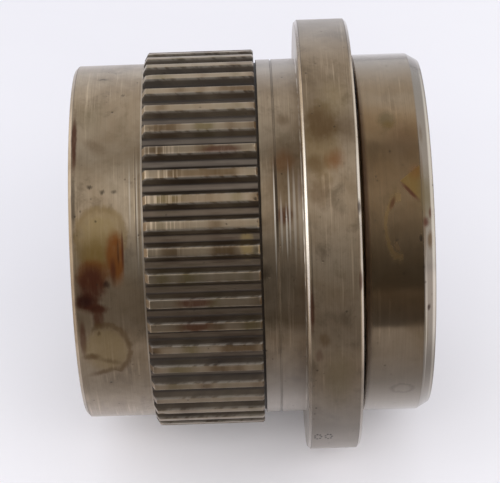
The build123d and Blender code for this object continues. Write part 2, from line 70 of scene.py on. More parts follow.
class Graph:
    """Short calls that add shader nodes to one material or world and join them up."""

    def __init__(self, tree):
        self.tree = tree
        self.tree.nodes.clear()

    def node(self, kind, inputs=(), **settings):
        new = self.tree.nodes.new(kind)
        for key, value in settings.items():
            setattr(new, key, value)
        for key, value in (inputs.items() if isinstance(inputs, dict) else enumerate(inputs)):
            if isinstance(value, bpy.types.NodeSocket):
                self.tree.links.new(value, new.inputs[key])
            else:
                new.inputs[key].default_value = value
        return new

    def math(self, operation, *values):
        return self.node("ShaderNodeMath", values, operation=operation).outputs[0]

    def times(self, first, *others):
        for other in others:
            first = self.math("MULTIPLY", first, other)
        return first

    def plus(self, first, second):
        return self.math("ADD", first, second)

    def minus(self, first, second):
        return self.math("SUBTRACT", first, second)

    def vector(self, operation, *values):
        return self.node("ShaderNodeVectorMath", values, operation=operation).outputs[0]

    def noise(self, vector, scale, detail=3.0, roughness=0.55, distortion=0.0):
        return self.node("ShaderNodeTexNoise", {
            "Vector": vector, "Scale": scale, "Detail": detail, "Roughness": roughness,
            "Distortion": distortion,
        }).outputs["Fac"]

    def spread(self, value, low, high, to_low=0.0, to_high=1.0):
        """Smooth step of a value from one range to another."""
        return self.node("ShaderNodeMapRange", {
            "Value": value, "From Min": low, "From Max": high, "To Min": to_low, "To Max": to_high,
        }, interpolation_type="SMOOTHSTEP").outputs["Result"]

    def window(self, value, rise, fall):
        """Smooth step up over one range and down again over another."""
        return self.times(self.spread(value, *rise), self.spread(value, fall[1], fall[0]))

    def mix(self, factor, first, second, blend="MIX"):
        new = self.node("ShaderNodeMix", data_type="RGBA", blend_type=blend)
        for socket, value in zip((new.inputs[0], new.inputs[6], new.inputs[7]), (factor, first, second)):
            if isinstance(value, bpy.types.NodeSocket):
                self.tree.links.new(value, socket)
            else:
                socket.default_value = value if isinstance(value, (int, float)) else (*value, 1)
        return new.outputs[2]

    def blend(self, factor, first, second):
        """Same as mix, for plain numbers."""
        new = self.node("ShaderNodeMix", data_type="FLOAT")
        for socket, value in zip((new.inputs[0], new.inputs[2], new.inputs[3]), (factor, first, second)):
            if isinstance(value, bpy.types.NodeSocket):
                self.tree.links.new(value, socket)
            else:
                socket.default_value = value
        return new.outputs[0]

    def ramp(self, value, *stops):
        new = self.node("ShaderNodeValToRGB", [value])
        while len(new.color_ramp.elements) < len(stops):
            new.color_ramp.elements.new(0.5)
        for element, (place, colour) in zip(new.color_ramp.elements, stops):
            element.position = place
            element.color = (colour, colour, colour, 1)
        return new.outputs["Color"]


class Skin(Graph):
    """A material, with its surface's place on the unit: millimetre coordinates, the station, the
    radius, and the angle from the facing line in degrees, positive upwards."""

    def __init__(self, name):
        self.material = bpy.data.materials.new(name)
        self.material.use_nodes = True
        super().__init__(self.material.node_tree)
        place = self.node("ShaderNodeTexCoord").outputs["Object"]
        self.mm = self.vector("MULTIPLY", place, (1000, 1000, 1000))
        split = self.node("ShaderNodeSeparateXYZ", [self.mm])
        self.station = self.plus(split.outputs["X"], LENGTH / 2)
        forward = self.dot(self.mm, FACING)
        upward = self.dot(self.mm, UPWARD)
        self.radius = self.hypotenuse(forward, upward)
        self.angle = self.math("DEGREES", self.math("ARCTAN2", upward, forward))

    def dot(self, vector, direction):
        product = self.node("ShaderNodeVectorMath", [vector, direction], operation="DOT_PRODUCT")
        return product.outputs["Value"]

    def hypotenuse(self, first, second):
        return self.math("SQRT", self.plus(self.times(first, first), self.times(second, second)))

    def stretched(self, along, around):
        """Millimetre coordinates scaled by one factor along the axis and one across it. The radius
        counts as length along the axis, so marks run round an end face too."""
        outward = self.node("ShaderNodeCombineXYZ", [self.times(self.radius, along)]).outputs[0]
        return self.vector("ADD", self.vector("MULTIPLY", self.mm, (along, around, around)), outward)

    def finish(self, colour, roughness, metallic=1.0, bump=None, bump_depth=0.00002, coat=0.0,
               coat_roughness=0.2, anisotropy=0.0, specular=0.5):
        shader = self.node("ShaderNodeBsdfPrincipled", {
            "Base Color": colour if isinstance(colour, bpy.types.NodeSocket) else (*colour, 1),
            "Roughness": roughness, "Metallic": metallic, "Coat Weight": coat,
            "Coat Roughness": coat_roughness, "Anisotropic": anisotropy, "Anisotropic Rotation": 0.25,
            "Specular IOR Level": specular,
        })
        if bump is not None:
            relief = self.node("ShaderNodeBump", {
                "Height": bump, "Distance": bump_depth, "Strength": 1.0,
            })
            self.tree.links.new(relief.outputs["Normal"], shader.inputs["Normal"])
        if anisotropy:
            tangent = self.node("ShaderNodeTangent", direction_type="RADIAL", axis="X")
            self.tree.links.new(tangent.outputs["Tangent"], shader.inputs["Tangent"])
        self.node("ShaderNodeOutputMaterial", {"Surface": shader.outputs["BSDF"]})
        return self.material


# ---------------------------------------------------------------- worn steel

TAN = (0.29, 0.205, 0.085)
OCHRE = (0.19, 0.115, 0.030)
OLIVE = (0.15, 0.112, 0.052)
RUST = (0.190, 0.066, 0.013)
BROWN = (0.125, 0.070, 0.027)
RED_BROWN = (0.080, 0.022, 0.009)
SCAB = (0.026, 0.007, 0.004)
DARK = (0.035, 0.023, 0.014)
# Near black for soiling and painted shade in grooves, hollows and punch dots
SOIL_AND_SHADE = (0.013, 0.0075, 0.0038)
# Pale rub marks on clean metal, partly a painted highlight along edges and turning lines
RUB_AND_HIGHLIGHT = (0.80, 0.73, 0.62)


# Radii that turn a stain's size around the axis into an angle
SLEEVE_SKIN, JOURNAL_SKIN, NECK_SKIN = 49.0, 47.5, 47.0


class Stain:
    """A patch on the skin: its middle as station and angle, its half sizes in mm along the axis and
    around, its tilt in degrees, colour, strength, and how soft its rim is. A hollow one is a ring.
    Each cut, a direction in degrees and a distance in mm, ends it along a straight line. A shiny one is a
    rub mark, worn down to clean metal, and its pale colour is partly a painted highlight."""

    def __init__(self, station, angle, half_along, half_around, colour, strength=0.8, tilt=0.0,
                 soft=0.35, ragged=0.3, ring=0.0, cuts=()):
        self.station, self.angle = station, angle
        self.half_along, self.half_around = half_along, half_around
        self.colour, self.strength, self.tilt = colour, strength, tilt
        self.soft, self.ragged, self.ring, self.cuts = soft, ragged, ring, cuts


def band(station, half, low, high, colour, strength):
    """A turning line or rub mark: a narrow patch that runs round the axis between two angles. A pale one
    is partly a painted highlight.
    """
    half_around = math.radians(high - low) / 2 * NECK_SKIN
    return Stain(station, (low + high) / 2, half, half_around, colour, strength, soft=0.55, ragged=0.02)


HUB_STAINS = [
    Stain(7.9, 1.0, 5.9, 7.2, TAN, 0.75, soft=0.4, ragged=0.30),
    Stain(7.9, 1.0, 5.9, 7.2, OCHRE, 0.45, soft=0.9, ragged=0.25, ring=0.16),
    Stain(6.4, -4.6, 5.0, 5.4, OCHRE, 0.90, soft=0.8, ragged=0.3),
    Stain(11.4, -5.4, 2.6, 7.4, RUST, 1.00, soft=0.45, ragged=0.2, cuts=((0, 2.0),)),
    Stain(10.6, -9.5, 0.8, 3.6, RED_BROWN, 0.75, soft=0.7, ragged=0.25),
    Stain(12.0, -4.0, 0.3, 3.6, SCAB, 0.55, soft=0.6, ragged=0.25),
    Stain(13.1, -3.5, 0.3, 5.4, RED_BROWN, 0.80, soft=0.6, ragged=0.1),
    Stain(5.6, -10.2, 4.3, 4.0, RUST, 0.80, soft=0.35, ragged=0.25),
    Stain(5.2, -13.2, 4.1, 5.4, RED_BROWN, 0.95, soft=0.5, ragged=0.25),
    Stain(8.8, -13.4, 0.9, 1.0, SCAB, 0.80, soft=0.7, ragged=0.3),
    Stain(3.9, -19.0, 3.3, 2.9, RED_BROWN, 1.00, soft=0.5, ragged=0.3),
    Stain(3.4, -18.6, 2.4, 2.0, SCAB, 0.75, soft=0.8, ragged=0.3),
    Stain(6.6, -21.0, 2.6, 1.5, RED_BROWN, 0.95, tilt=-10, soft=0.6, ragged=0.3),
    Stain(6.2, -21.0, 1.6, 0.8, SCAB, 0.60, soft=0.8, ragged=0.3),
    Stain(6.4, -24.0, 1.5, 3.4, RED_BROWN, 0.90, soft=0.5, ragged=0.3),
    Stain(2.2, -31.0, 0.9, 6.4, RED_BROWN, 0.80, soft=0.5, ragged=0.2),
    Stain(7.8, -33.0, 6.0, 10.5, BROWN, 0.20, soft=0.6, ragged=0.18),
    Stain(7.8, -35.8, 5.8, 7.8, TAN, 0.55, soft=0.3, ragged=0.18),
    Stain(7.8, -35.8, 5.9, 7.9, BROWN, 0.72, soft=0.9, ragged=0.18, ring=0.13,
          cuts=((238, 5.2), (180, 3.4))),
    Stain(6.8, -44.6, 3.9, 1.0, BROWN, 0.75, tilt=22, soft=0.8, ragged=0.2),
    Stain(4.0, -38.2, 2.2, 1.2, BROWN, 0.85, soft=0.7, ragged=0.2),
    Stain(8.4, -40.2, 3.4, 0.9, BROWN, 0.55, tilt=-18, soft=0.9, ragged=0.2),
    Stain(6.2, -29.6, 0.5, 0.7, BROWN, 0.8, soft=0.8),
    Stain(1.5, 32.0, 0.75, 10.0, RED_BROWN, 0.92, soft=0.5, ragged=0.4),
    Stain(1.3, 12.0, 0.5, 8.0, DARK, 0.7, soft=0.6, ragged=0.4),
    Stain(5.4, 16.4, 0.75, 0.6, DARK, 0.8, soft=0.8),
    Stain(8.5, 14.6, 0.7, 0.7, DARK, 0.8, soft=0.8),
    Stain(11.4, 14.6, 0.8, 0.6, DARK, 0.8, soft=0.8),
    Stain(8.0, 62.0, 1.3, 0.6, DARK, 0.6, soft=0.8),
    Stain(13.4, 51.4, 0.6, 0.6, DARK, 0.5, soft=0.8),
    Stain(6.5, 30.0, 3.4, 1.6, BROWN, 0.45, tilt=-35, soft=0.7),
    Stain(5.0, 42.0, 4.5, 6.0, OLIVE, 0.45, soft=0.9),
    # Dark turning lines and pale bands; the pale ones are rub marks and partly painted highlights, the
    # last on the hub's end edge
    band(16.6, 0.16, -14, 30, DARK, 0.55),
    band(16.95, 0.16, -12, 26, RUB_AND_HIGHLIGHT, 0.45),
    band(17.45, 0.18, -14, 34, DARK, 0.45),
    band(15.2, 0.22, 2, 24, RUB_AND_HIGHLIGHT, 0.30),
    band(18.12, 0.24, -75, 80, RUB_AND_HIGHLIGHT, 0.50),
]
SLEEVE_STAINS = HUB_STAINS + [
    Stain(53.2, 17.5, 3.8, 10.5, BROWN, 0.60, soft=0.7, ragged=0.35),
    Stain(53.6, 22.5, 3.2, 3.2, RUST, 0.45, soft=0.8, ragged=0.35),
    Stain(53.4, 37.5, 2.0, 2.0, BROWN, 0.50, soft=0.8, ragged=0.3),
    Stain(57.0, 13.0, 0.35, 5.0, RED_BROWN, 0.60, soft=0.7, ragged=0.3),
    Stain(53.2, 5.4, 2.3, 2.4, RED_BROWN, 0.75, soft=0.6, ragged=0.35),
    Stain(62.4, 23.0, 5.0, 9.6, OCHRE, 0.55, soft=0.5, ragged=0.35),
    Stain(62.8, 28.0, 4.6, 4.8, BROWN, 0.85, tilt=-20, soft=0.6, ragged=0.35),
    Stain(61.0, 17.0, 2.4, 2.4, BROWN, 0.60, soft=0.7, ragged=0.4),
    Stain(65.6, 18.0, 2.6, 2.2, RUST, 0.65, tilt=30, soft=0.8, ragged=0.4),
    Stain(68.4, 27.0, 2.6, 4.4, BROWN, 0.55, soft=0.7, ragged=0.3),
    Stain(61.8, 10.5, 2.8, 3.4, BROWN, 0.55, soft=0.7, ragged=0.6),
    Stain(58.9, -18.5, 0.6, 5.4, RED_BROWN, 0.85, soft=0.6, ragged=0.5),
    Stain(61.8, -27.0, 1.6, 2.0, BROWN, 0.75, soft=0.7),
    Stain(60.4, -31.5, 1.0, 1.7, RED_BROWN, 0.55, soft=0.6),
    Stain(65.0, -40.0, 4.4, 8.0, OLIVE, 0.60, soft=0.8),
    Stain(66.2, 35.0, 4.0, 5.0, TAN, 0.40, soft=0.9),
    Stain(43.6, -2.5, 1.8, 4.0, TAN, 0.9, soft=0.5, ragged=0.15),
    Stain(30.4, -18.7, 5.0, 1.6, RED_BROWN, 0.85, soft=0.5, ragged=0.1),
    Stain(30.6, -26.1, 4.6, 1.8, RED_BROWN, 0.80, soft=0.5, ragged=0.1),
    Stain(38.2, 25.4, 5.4, 1.6, RED_BROWN, 0.80, soft=0.5, ragged=0.1),
    Stain(29.0, 11.0, 7.0, 2.4, BROWN, 0.40, soft=0.8),
    # Pale bands on the neck and the flange's edges are rub marks and partly painted highlights
    band(50.72, 0.20, -14, 22, RUB_AND_HIGHLIGHT, 0.80),
    # Darkened narrow groove on the neck: soiling and painted shade
    band(51.25, 0.36, -8, 26, SOIL_AND_SHADE, 0.70),
    band(52.3, 0.30, -6, 12, RUB_AND_HIGHLIGHT, 0.35),
    band(53.55, 0.24, -8, 9, RUB_AND_HIGHLIGHT, 0.70),
    band(54.35, 0.26, -6, 22, RUB_AND_HIGHLIGHT, 0.60),
    band(55.6, 0.40, -10, 20, RUB_AND_HIGHLIGHT, 0.40),
    band(56.9, 0.5, -12, 20, RUB_AND_HIGHLIGHT, 0.25),
    band(57.7, 0.22, -14, 14, RUB_AND_HIGHLIGHT, 0.60),
    band(58.22, 0.36, -24, 32, RUB_AND_HIGHLIGHT, 0.85),
    band(59.1, 0.22, -24, 4, DARK, 0.5),
    band(71.15, 0.30, -45, 60, RUB_AND_HIGHLIGHT, 0.50),
    band(70.9, 0.30, 2, 22, RUB_AND_HIGHLIGHT, 0.60),
    Stain(70.9, 6.0, 0.5, 1.6, SCAB, 0.80, soft=0.6, ragged=0.3),
    Stain(70.8, -12.0, 0.5, 2.4, RED_BROWN, 0.75, soft=0.6, ragged=0.3),
]

# Two rings of punch dots at the bottom of the flange
DOTS = 7
for start, middle in ((0, 60.2), (1, 62.9)):
    for dot in range(DOTS):
        turn = 2 * math.pi * dot / DOTS + start
        SLEEVE_STAINS.append(Stain(middle + 0.85 * math.cos(turn), -65.7 + 1.7 * math.sin(turn),
                                   0.32, 0.40, SOIL_AND_SHADE, 0.95, soft=0.4, ragged=0.0))

JOURNAL_STAINS = [
    Stain(84.8, 15.5, 6.0, 6.5, OCHRE, 0.90, soft=0.4, ragged=0.12, cuts=((222, 2.6), (128, 1.5))),
    Stain(85.6, 17.6, 1.9, 2.2, RUST, 0.45, soft=0.8, ragged=0.2),
    Stain(84.1, 11.4, 3.6, 0.55, RED_BROWN, 0.90, tilt=-48, soft=0.7, ragged=0.12),
    Stain(79.5, 35.7, 2.2, 3.0, OLIVE, 0.65, soft=0.6, ragged=0.2),
    Stain(79.7, 33.8, 1.8, 1.3, OCHRE, 0.55, soft=0.7, ragged=0.2),
    Stain(81.2, 1.0, 3.4, 7.4, OCHRE, 0.50, soft=0.9, ragged=0.16, ring=0.20, cuts=((0, 0.6),)),
    Stain(79.6, 8.2, 0.6, 1.9, RED_BROWN, 0.75, tilt=-20, soft=0.6, ragged=0.2),
    Stain(80.4, -4.8, 0.7, 1.6, BROWN, 0.60, tilt=15, soft=0.7, ragged=0.2),
    Stain(86.3, -2.6, 0.6, 1.1, DARK, 0.95, soft=0.5),
    Stain(83.6, 28.0, 5.0, 6.0, RED_BROWN, 0.25, soft=0.9),
    Stain(82.0, -58.0, 2.6, 2.2, DARK, 0.22, soft=0.8, ring=0.25),
    Stain(87.2, 8.0, 0.5, 14.0, BROWN, 0.75, soft=0.7, ragged=0.12),
    Stain(88.4, 10.0, 2.6, 7.0, OLIVE, 0.75, soft=0.8, ragged=0.25),
    Stain(87.6, 2.4, 0.8, 1.3, RED_BROWN, 0.90, soft=0.8, ragged=0.35),
    Stain(88.6, -3.0, 0.8, 2.4, BROWN, 0.80, soft=0.7, ragged=0.35),
    Stain(89.0, 5.0, 0.6, 1.4, RED_BROWN, 0.80, soft=0.6, ragged=0.3),
    Stain(88.0, -24.0, 0.5, 0.9, SCAB, 0.85, soft=0.7, ragged=0.3),
    Stain(87.4, -32.0, 0.6, 7.0, OLIVE, 0.55, soft=0.9, ragged=0.2),
    Stain(87.6, 30.0, 0.5, 3.0, BROWN, 0.45, soft=0.8, ragged=0.3),
    # Pale bands at the journal's end are rub marks and partly painted highlights
    band(89.45, 0.45, -75, 80, RUB_AND_HIGHLIGHT, 0.55),
    band(87.5, 0.16, -60, -6, RUB_AND_HIGHLIGHT, 0.40),
    band(72.6, 1.5, -70, 60, SCAB, 0.80),
]


def scaled(colour, factor):
    return tuple(min(1, factor * value) for value in colour)


def spline_colours(skin, colour, clean, tarnished):
    """Colours the spline: each tooth has its own tint, lighter bars where the tops are rubbed, and a
    darker floor beside it, greyer near and below the facing line. Also gives how much of a tooth is at a
    point, and how clear the turning marks of the steel are there."""
    tooth = skin.math("ROUND", skin.math("DIVIDE", skin.minus(skin.angle, 3.5), TOOTH_PITCH))
    banded = skin.node("ShaderNodeCombineXYZ", [
        skin.times(skin.station, 0.10), skin.times(tooth, 3.7), 0.0,
    ]).outputs[0]
    tint = skin.noise(banded, 1.0, 1.5, 0.5)
    bars = skin.noise(skin.vector("MULTIPLY", banded, (11.0, 1.0, 1.0)), 1.0, 2.0, 0.5)
    on_teeth = skin.times(skin.spread(skin.radius, 47.5, 47.9),
                          skin.window(skin.station, (18.3, 18.6), (46.7, 47.0)))
    rubbed = skin.times(skin.spread(skin.station, 34.0, 21.0),
                        skin.window(skin.angle, (-10.0, 2.0), (22.0, 36.0)))
    marks = skin.minus(1.0, skin.times(on_teeth, skin.blend(rubbed, 0.85, 0.60)))
    even_steel = skin.mix(skin.spread(tint, 0.35, 0.65), scaled(clean, 0.80), tarnished)
    colour = skin.mix(skin.minus(1.0, marks), colour, even_steel)
    beyond_spline = skin.spread(skin.station, 46.0, 49.0, 0.0, 0.8)
    colour = skin.mix(beyond_spline, colour, (0.76, 0.74, 0.72), "MULTIPLY")
    browned = skin.times(on_teeth, skin.spread(tint, 0.50, 0.68, 0.0, 0.8))
    colour = skin.mix(browned, colour, BROWN)
    yellowed = skin.times(on_teeth, skin.spread(tint, 0.48, 0.30, 0.0, 0.8))
    colour = skin.mix(yellowed, colour, (0.20, 0.148, 0.060))
    between = skin.times(on_teeth, skin.spread(skin.radius, 48.3, 47.95, 0.0, 0.85))
    greyer_roots = skin.window(skin.angle, (-50.0, -30.0), (4.0, 22.0))
    colour = skin.mix(between, colour, skin.mix(greyer_roots, (0.175, 0.150, 0.130), (0.095, 0.068, 0.050)))
    light_bars = skin.times(on_teeth, skin.spread(bars, 0.50, 0.62), skin.blend(rubbed, 0.03, 0.70),
                            skin.spread(skin.radius, 49.2, 49.6))
    colour = skin.mix(light_bars, colour, scaled(clean, 1.5))
    return colour, on_teeth, marks


def stain_cover(skin, stain, bend, comb):
    """How much a stain covers each point of the skin. The bend and the comb make its rim uneven."""
    along = skin.minus(skin.station, stain.station)
    skin_radius = SLEEVE_SKIN if stain.station < FLANGE_END else JOURNAL_SKIN
    around = skin.times(skin.minus(skin.angle, stain.angle), math.radians(1) * skin_radius)
    edges = [skin.plus(skin.times(along, math.cos(math.radians(turn))),
                       skin.times(around, math.sin(math.radians(turn)))) for turn, _ in stain.cuts]
    around = skin.plus(around, skin.times(comb, stain.ragged * 6))
    tilt = math.radians(stain.tilt)
    across = skin.plus(skin.times(along, math.cos(tilt) / stain.half_along),
                       skin.times(around, math.sin(tilt) / stain.half_along))
    length = skin.minus(skin.times(around, math.cos(tilt) / stain.half_around),
                        skin.times(along, math.sin(tilt) / stain.half_around))
    reach = skin.plus(skin.hypotenuse(across, length), skin.times(bend, stain.ragged * 2))
    if stain.ring:
        reach = skin.math("DIVIDE", skin.math("ABSOLUTE", skin.minus(reach, 1.0)), stain.ring)
    cover = skin.spread(reach, 1.0 + stain.soft / 2, 1.0 - stain.soft, 0.0, stain.strength)
    for edge, (_, distance) in zip(edges, stain.cuts):
        cover = skin.times(cover, skin.spread(edge, distance + 0.25, distance - 0.25))
    return cover


def worn_steel(name, stains, clean, tarnished, base_roughness, mark_depth, mottling, toothed):
    """Turned or ground steel with an oil coat, tarnish, turning marks, pits, scuffs and rust stains.
    Edge wear, and the darkening between spline teeth, in grooves and in hollow corners, which is soiling
    and painted shade, come from the mesh's own attributes."""
    skin = Skin(name)
    streaks = skin.noise(skin.stretched(1.35, 0.035), 1.0, 5.0, 0.62)
    fine_marks = skin.noise(skin.stretched(7.0, 0.05), 1.0, 2.0, 0.5)
    clouds = skin.noise(skin.stretched(0.055, 0.055), 1.0, 5.0, 0.6, 0.4)
    blotches = skin.noise(skin.stretched(0.16, 0.13), 1.0, 6.0, 0.62, 0.3)
    grain = skin.noise(skin.stretched(1.6, 1.6), 1.0, 4.0, 0.6)
    scuffed = skin.times(skin.spread(streaks, 0.53, 0.72),
                         skin.spread(skin.noise(skin.stretched(0.10, 0.06), 1.0, 3.0), 0.42, 0.60))
    cloudy = skin.spread(clouds, 0.30, 0.70)

    colour = skin.mix(skin.spread(clouds, 0.30, 0.68), clean, tarnished)
    colour = skin.mix(skin.spread(blotches, 0.50, 0.74, 0.0, mottling), colour, scaled(tarnished, 0.55))
    colour = skin.mix(skin.spread(blotches, 0.47, 0.30, 0.0, 0.30), colour, OLIVE)
    colour = skin.mix(skin.spread(fine_marks, 0.42, 0.66, 0.0, 0.22), colour, scaled(tarnished, 0.6))
    colour = skin.mix(skin.times(scuffed, 0.55), colour, scaled(clean, 1.5))
    roughness = skin.blend(cloudy, base_roughness - 0.03, base_roughness + 0.05)
    roughness = skin.blend(scuffed, roughness, base_roughness - 0.05)

    # Painted reflection: greyer steel above and below the facing line, where the steel mirrors the bright
    # surroundings; the front of the journal is browner.
    painted_sheen = skin.math("MAXIMUM", skin.spread(skin.angle, 46.0, 74.0, 0.0, 0.7),
                     skin.spread(skin.angle, -32.0, -66.0, 0.0, 0.8))
    marks = 1.0
    if toothed:
        painted_sheen = skin.times(painted_sheen, skin.spread(skin.station, 40.0, 48.0, 0.35, 1.0))
        roughness = skin.plus(roughness, skin.spread(skin.station, 57.6, 58.6, 0.0, 0.12))
        flange_edge = skin.times(skin.spread(skin.radius, 56.3, 56.6), skin.math(
            "MAXIMUM", skin.spread(skin.station, 58.7, 58.45), skin.spread(skin.station, 70.5, 70.75)))
        roughness = skin.blend(flange_edge, roughness, 0.20)
        colour, on_teeth, marks = spline_colours(skin, colour, clean, tarnished)
        painted_sheen = skin.times(painted_sheen, skin.minus(1.0, skin.times(on_teeth, 0.8)))
        # Painted reflection: greyer steel above and below the facing line, less on the hub and the teeth
        colour = skin.mix(painted_sheen, colour, (0.52, 0.475, 0.43))
    else:
        front_tint = skin.window(skin.angle, (-34.0, -20.0), (34.0, 46.0))
        colour = skin.mix(front_tint, colour, (1.0, 0.88, 0.72), "MULTIPLY")
        on_chamfer = skin.spread(skin.station, JOURNAL_END - 0.2, JOURNAL_END + 0.2)
        sheen_and_chamfer_grey = skin.mix(on_chamfer, (0.37, 0.335, 0.29), (0.25, 0.222, 0.185))
        # Painted reflection: greyer steel above and below the journal's facing line; its end chamfer is
        # greyer too
        colour = skin.mix(skin.math("MAXIMUM", painted_sheen, skin.times(on_chamfer, 0.85)), colour, sheen_and_chamfer_grey)

    rust = 0.0
    bend = skin.minus(skin.noise(skin.stretched(0.35, 0.30), 1.0, 5.0, 0.65), 0.5)
    comb = skin.minus(streaks, 0.5)
    uneven = skin.spread(skin.noise(skin.stretched(0.9, 0.22), 1.0, 4.0, 0.6), 0.30, 0.55, 0.84, 1.0)
    outside = skin.spread(skin.radius, 43.4, 44.4)
    for stain in stains:
        cover = skin.times(stain_cover(skin, stain, bend, comb), outside)
        if FLANGE_END < stain.station < JOURNAL_END:
            cover = skin.times(cover, skin.spread(skin.station, JOURNAL_END, JOURNAL_END - 0.4))
        if stain.colour != RUB_AND_HIGHLIGHT:
            cover = skin.times(cover, uneven)
            rust = skin.math("MAXIMUM", rust, cover)
        colour = skin.mix(cover, colour, stain.colour)

    pits = skin.node("ShaderNodeTexVoronoi", {
        "Vector": skin.mm, "Scale": 0.42, "Randomness": 1.0,
    }).outputs["Distance"]
    pits = skin.times(skin.spread(pits, 0.17, 0.06), skin.spread(blotches, 0.50, 0.60))
    colour = skin.mix(skin.times(pits, 0.6), colour, DARK)
    metallic = skin.minus(1.0, skin.times(rust, 0.12))
    if toothed:
        # Darkening from the mesh: soiling and painted shade between the spline teeth, in grooves and in
        # hollow corners
        darkening = skin.node("ShaderNodeAttribute", attribute_name="darkening").outputs["Fac"]
        darkening = skin.times(darkening, skin.blend(cloudy, 0.88, 1.0))
        wear = skin.node("ShaderNodeAttribute", attribute_name="wear").outputs["Fac"]
        worn = skin.noise(skin.stretched(0.5, 0.35), 1.0, 3.0)
        wear = skin.times(wear, skin.spread(worn, 0.36, 0.56))
        colour = skin.mix(darkening, colour, SOIL_AND_SHADE)
        colour = skin.mix(skin.times(wear, 0.45), colour, (0.62, 0.57, 0.49))
        roughness = skin.blend(wear, roughness, 0.30)
        roughness = skin.blend(rust, roughness, 0.45)
        roughness = skin.blend(darkening, roughness, 0.60)
        metallic = skin.times(metallic, skin.blend(darkening, 1.0, 0.35))
    else:
        roughness = skin.blend(rust, roughness, 0.45)

    height = skin.times(skin.plus(skin.times(fine_marks, 0.35), streaks), marks)
    height = skin.plus(height, skin.times(grain, 0.12 if toothed else 0.03))
    height = skin.minus(height, skin.times(pits, 1.5))
    height = skin.plus(height, skin.times(rust, 0.15))
    return skin.finish(colour, roughness, metallic, height, mark_depth, coat=0.2, coat_roughness=0.25,
                       anisotropy=0.65 if toothed else 0.3)


def plain_steel(name, clean, tarnished, base_roughness, mark_depth=0.000008, oil=0.3, turned=True):
    """Machined steel with tool marks, faint clouds and an oil coat, for the inner pieces."""
    skin = Skin(name)
    marks = skin.noise(skin.stretched(3.0, 0.25 if turned else 3.0), 1.0, 4.0, 0.6)
    rings = skin.noise(skin.node("ShaderNodeCombineXYZ", [
        skin.times(skin.radius, 2.4), skin.times(skin.station, 2.4), 0.0,
    ]).outputs[0], 1.0, 3.0, 0.6)
    clouds = skin.noise(skin.stretched(0.12, 0.12), 1.0, 5.0, 0.6, 0.3)
    darkening = skin.noise(skin.stretched(0.5, 0.5), 1.0, 5.0, 0.65)
    colour = skin.mix(skin.spread(clouds, 0.32, 0.66), clean, tarnished)
    colour = skin.mix(skin.times(skin.spread(darkening, 0.52, 0.72), 0.45), colour,
                      scaled(tarnished, 0.4))
    height = skin.plus(marks, skin.times(rings, 0.8 if turned else 0.0))
    roughness = skin.blend(skin.spread(darkening, 0.3, 0.7), base_roughness - 0.06, base_roughness + 0.10)
    return skin.finish(colour, roughness, 1.0, height, mark_depth, coat=oil, coat_roughness=0.15)


def rubber(name):
    skin = Skin(name)
    bloom = skin.noise(skin.stretched(0.4, 0.4), 1.0, 5.0, 0.6)
    grain = skin.noise(skin.stretched(4.0, 4.0), 1.0, 3.0, 0.6)
    colour = skin.mix(skin.spread(bloom, 0.35, 0.75), (0.018, 0.017, 0.016), (0.050, 0.044, 0.038))
    roughness = skin.blend(skin.spread(bloom, 0.3, 0.7), 0.42, 0.62)
    return skin.finish(colour, roughness, 0.0, grain, 0.00003)


finishes = {
    "sleeve_steel": worn_steel("worn_sleeve_steel", SLEEVE_STAINS, (0.48, 0.375, 0.255),
                               (0.33, 0.24, 0.145), 0.36, 0.000045, 0.72, True),
    "hub_steel": worn_steel("worn_journal_steel", JOURNAL_STAINS, (0.35, 0.265, 0.175),
                            (0.29, 0.205, 0.12), 0.17, 0.000004, 0.35, False),
    "carrier_steel": plain_steel("carrier_steel_oiled", (0.34, 0.33, 0.31), (0.20, 0.185, 0.16), 0.34),
    "gear_steel": plain_steel("gear_steel_ground", (0.42, 0.41, 0.39), (0.25, 0.235, 0.21), 0.26,
                              turned=False),
    "bearing_steel": plain_steel("bearing_steel_polished", (0.62, 0.62, 0.61), (0.48, 0.47, 0.45), 0.14,
                                 0.000002, turned=False),
    "cage_brass": plain_steel("cage_brass_turned", (0.66, 0.47, 0.20), (0.42, 0.28, 0.11), 0.28),
    "black_steel": plain_steel("black_steel_oxide", (0.060, 0.058, 0.056), (0.032, 0.029, 0.026), 0.38,
                               turned=False),
    "spring_steel": plain_steel("spring_steel_phosphated", (0.15, 0.14, 0.125), (0.085, 0.075, 0.065),
                                0.45, turned=False),
    "bronze": plain_steel("washer_bronze", (0.50, 0.33, 0.17), (0.30, 0.18, 0.085), 0.33),
    "plated_steel": plain_steel("zinc_plated_steel", (0.55, 0.54, 0.50), (0.40, 0.38, 0.33), 0.30,
                                turned=False),
    "seal_rubber": rubber("seal_nitrile_rubber"),
}
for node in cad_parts.values():
    for holder in node.material_slots:
        holder.material = finishes[holder.material.name.split(".")[0]]


# ---------------------------------------------------------------- the sleeve's mesh

CREST_ANGLE = 90.0
RING_TEETH = 52
TOOTH_SAMPLES = (0.0, 0.6, 1.05, 1.17, 1.27, 1.7, 2.2, 2.55, 2.8, 3.2)
SPACE_SAMPLES = (0.0, 0.5, 0.75, 1.2, 1.7, 2.15, 2.45, 2.95)


def smooth_min(first, second, width):
    share = np.clip(0.5 + 0.5 * (second - first) / width, 0, 1)
    return second * (1 - share) + first * share - width * share * (1 - share)


def periodic(angles, waves, seed):
    """Random wave round the axis between -1 and 1, the same each run."""
    source = random.Random(seed)
    total = np.zeros(len(angles))
    for wave in waves:
        total += math.sqrt(1 / len(waves)) * np.cos(wave * angles + source.uniform(0, 2 * math.pi))
    return total


